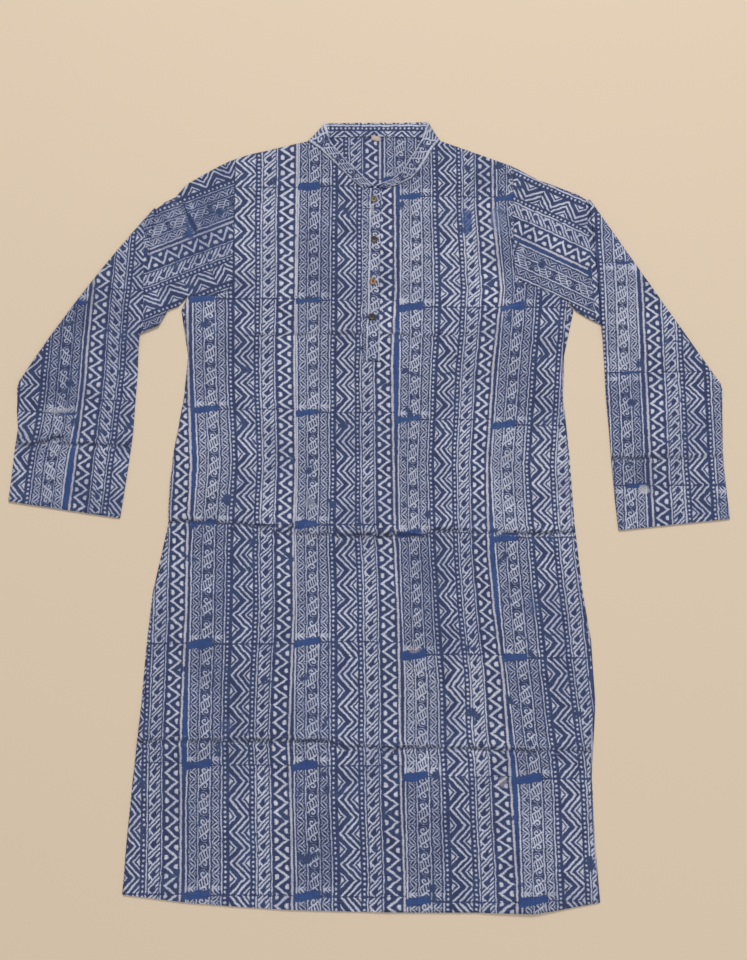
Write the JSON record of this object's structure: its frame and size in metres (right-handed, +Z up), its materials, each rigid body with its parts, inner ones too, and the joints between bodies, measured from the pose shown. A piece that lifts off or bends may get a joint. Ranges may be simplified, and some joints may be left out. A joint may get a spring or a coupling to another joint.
{
  "type": "kurta tunic",
  "caption": "Long block-printed kurta tunic with a band collar, half placket and long sleeves, laid flat with its sleeves folded over.",
  "frame": {"origin": "middle of the bounding box, on the surface the tunic lies on", "axes": "+Y from the hem to the collar, +X to the wearer's left sleeve, +Z up out of the front of the tunic"},
  "size_m": [1.072, 1.1809, 0.0065],
  "materials": {
    "cloth": "matt woven cotton, indigo blue block print with pale grey lines",
    "cloth_inside": "matt woven cotton, the print showing through slightly paler",
    "button": "satin, dark brown with a lighter rim",
    "label": "matt, blank"
  },
  "bodies": {
    "root": {"back_panel": "cloth_inside", "front_panel": "cloth", "sleeve_left": "cloth", "sleeve_right": "cloth", "collar": "cloth", "placket_under": "cloth", "placket_over": "cloth", "button_1": "button", "button_2": "button", "button_3": "button", "button_4": "button", "neck_label": "label"}
  },
  "joints": []
}
